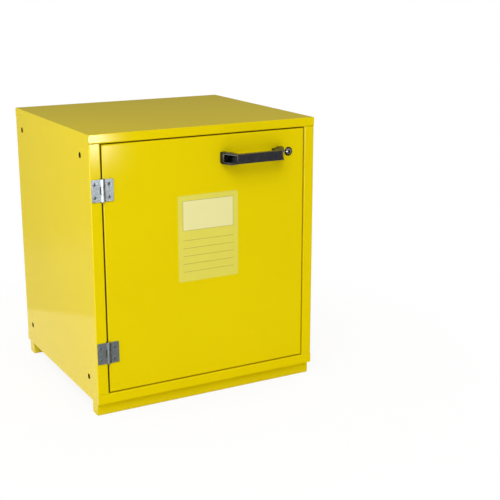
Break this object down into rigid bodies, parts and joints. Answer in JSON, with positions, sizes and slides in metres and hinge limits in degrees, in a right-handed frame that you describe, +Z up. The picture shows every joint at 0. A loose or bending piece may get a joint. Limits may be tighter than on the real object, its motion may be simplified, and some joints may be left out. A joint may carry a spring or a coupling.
{
  "type": "flammable storage cabinet",
  "caption": "Floor-standing sheet-steel cabinet on skids with an inset hinged door, bridge handle and cam lock, and a retention shelf over a sump tray for flammable liquids.",
  "frame": {"origin": "on the floor, under the middle of the part over everything that stands proud", "axes": "+Z up, the door faces -Y, +X to the right seen from the front"},
  "size_m": [0.55, 0.5432, 0.63],
  "materials": {
    "yellow_paint": "smooth semi-gloss safety-yellow powder coat",
    "galvanised_steel": "galvanised, matt with a faint spangle",
    "hinge_steel": "bright zinc-plated steel, lightly scratched",
    "zinc_fastener": "zinc-plated",
    "earth_brass": "plain turned brass",
    "seal_rubber": "matt foam rubber",
    "handle_plastic": "black glass-filled plastic, fine-grained",
    "black_screw": "blackened steel",
    "lock_chrome": "polished chrome",
    "label_vinyl": "pale satin vinyl"
  },
  "bodies": {
    "carcass": {"left_side_panel": "yellow_paint", "right_side_panel": "yellow_paint", "top_panel": "yellow_paint", "bottom_panel": "yellow_paint", "back_panel": "yellow_paint", "front_skid": "yellow_paint", "rear_skid": "yellow_paint", "upper_vent_cover": "yellow_paint", "lower_vent_cover": "yellow_paint", "left_front_rail": "galvanised_steel", "left_rear_rail": "galvanised_steel", "right_front_rail": "galvanised_steel", "right_rear_rail": "galvanised_steel", "shelf_clips": "galvanised_steel", "retention_shelf": "galvanised_steel", "sump_tray": "galvanised_steel", "upper_hinge_frame_leaf": "hinge_steel", "lower_hinge_frame_leaf": "hinge_steel", "upper_hinge_pin": "hinge_steel", "lower_hinge_pin": "hinge_steel", "back_rivets": "zinc_fastener", "vent_rivets": "zinc_fastener", "hinge_frame_screws": "zinc_fastener", "hinge_frame_nuts": "zinc_fastener", "earth_bolt": "earth_brass", "earth_washer": "earth_brass", "earth_nut": "earth_brass", "door_seal": "seal_rubber"},
    "door": {"door_pan": "yellow_paint", "door_stiffener": "yellow_paint", "upper_hinge_door_leaf": "hinge_steel", "lower_hinge_door_leaf": "hinge_steel", "hinge_door_screws": "zinc_fastener", "hinge_door_nuts": "zinc_fastener", "handle": "handle_plastic", "handle_screws": "black_screw", "handle_nuts": "zinc_fastener", "lock_body": "lock_chrome", "lock_nut": "zinc_fastener", "contents_label": "label_vinyl"},
    "lock": {"lock_plug": "lock_chrome", "lock_cam": "zinc_fastener", "cam_screw": "zinc_fastener"}
  },
  "joints": [
    {"name": "door_hinge", "type": "hinge", "parent": "carcass", "child": "door", "pos_m": [-0.2485, -0.2352, 0.33], "axis": [0, 0, -1], "range_deg": [0, 180]},
    {"name": "lock_turn", "type": "hinge", "parent": "door", "child": "lock", "pos_m": [0.206, -0.2316, 0.5565], "axis": [0, -1, 0], "range_deg": [0, 90]}
  ]
}
